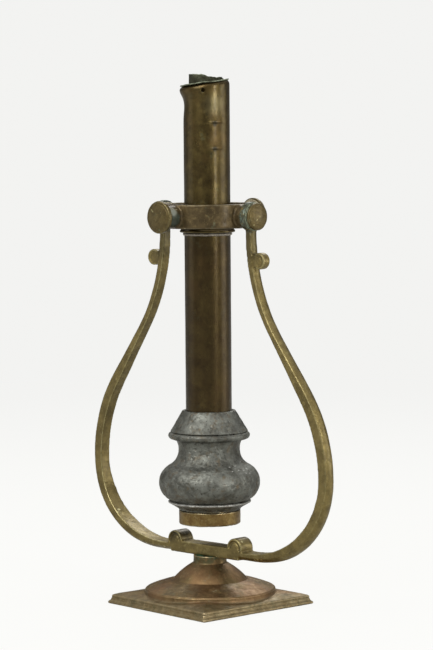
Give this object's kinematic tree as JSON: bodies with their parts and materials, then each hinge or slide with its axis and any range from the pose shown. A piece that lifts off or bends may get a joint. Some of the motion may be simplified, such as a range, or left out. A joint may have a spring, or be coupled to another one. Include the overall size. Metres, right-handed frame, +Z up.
{
  "type": "gimballed ship's candlestick",
  "caption": "Spring-fed candle tube with a bulbous foot weight, hung in a two-axis ring between the arms of a lyre-shaped brass yoke on a square moulded base.",
  "frame": {"origin": "middle of the base's underside", "axes": "+Z up; X through the yoke's two pivots; Y through the gimbal ring's two pivots"},
  "size_m": [0.1788, 0.0874, 0.2938],
  "materials": {
    "base_bronze": "red-brown patina, worn",
    "yoke_brass": "olive-brown patina with bright worn edges",
    "ring_brass": "dark brown patina",
    "tube_brass": "dark, half shiny patina",
    "cap_brass": "bright golden",
    "worn_brass": "rubbed",
    "verdigris_brass": "green corrosion",
    "solder": "dull soft-solder bead",
    "pewter": "pitted grey casting",
    "steel": "dull",
    "spring_bronze": "drawn wire"
  },
  "bodies": {
    "stand": {"base": "base_bronze", "stem_washer": "yoke_brass", "stem_screw": "steel", "yoke": "yoke_brass"},
    "ring": {"gimbal_ring": "ring_brass", "outer_screws": "yoke_brass", "outer_thrust_washers": "worn_brass", "outer_head_washers": "verdigris_brass"},
    "tube": {"tube_collar": "tube_brass", "collar_bead": "solder", "candle_tube": "tube_brass", "weight": "pewter", "tube_ferrule": "cap_brass", "inner_screws": "yoke_brass", "inner_washers": "worn_brass", "candle_spring": "spring_bronze", "nozzle_flange": "verdigris_brass", "nozzle_collar": "verdigris_brass"},
    "cap": {"bottom_cap": "cap_brass", "cap_floor": "cap_brass"},
    "feed": {"follower": "worn_brass"}
  },
  "joints": [
    {"name": "outer_gimbal", "type": "hinge", "parent": "stand", "child": "ring", "pos_m": [0, 0, 0.2154], "axis": [1, 0, 0], "continuous": true},
    {"name": "inner_gimbal", "type": "hinge", "parent": "ring", "child": "tube", "pos_m": [0, 0, 0.2154], "axis": [0, 1, 0], "range_deg": [-20, 20]},
    {"name": "cap_turn", "type": "hinge", "parent": "tube", "child": "cap", "pos_m": [0, 0, 0.046], "axis": [0, 0, 1], "continuous": true},
    {"name": "candle_feed", "type": "slide", "parent": "tube", "child": "feed", "axis": [0, 0, 1], "range_m": [-0.18, 0], "stiffness_N_per_m": 38, "springref_m": 0.02, "deforming": ["candle_spring"]}
  ]
}
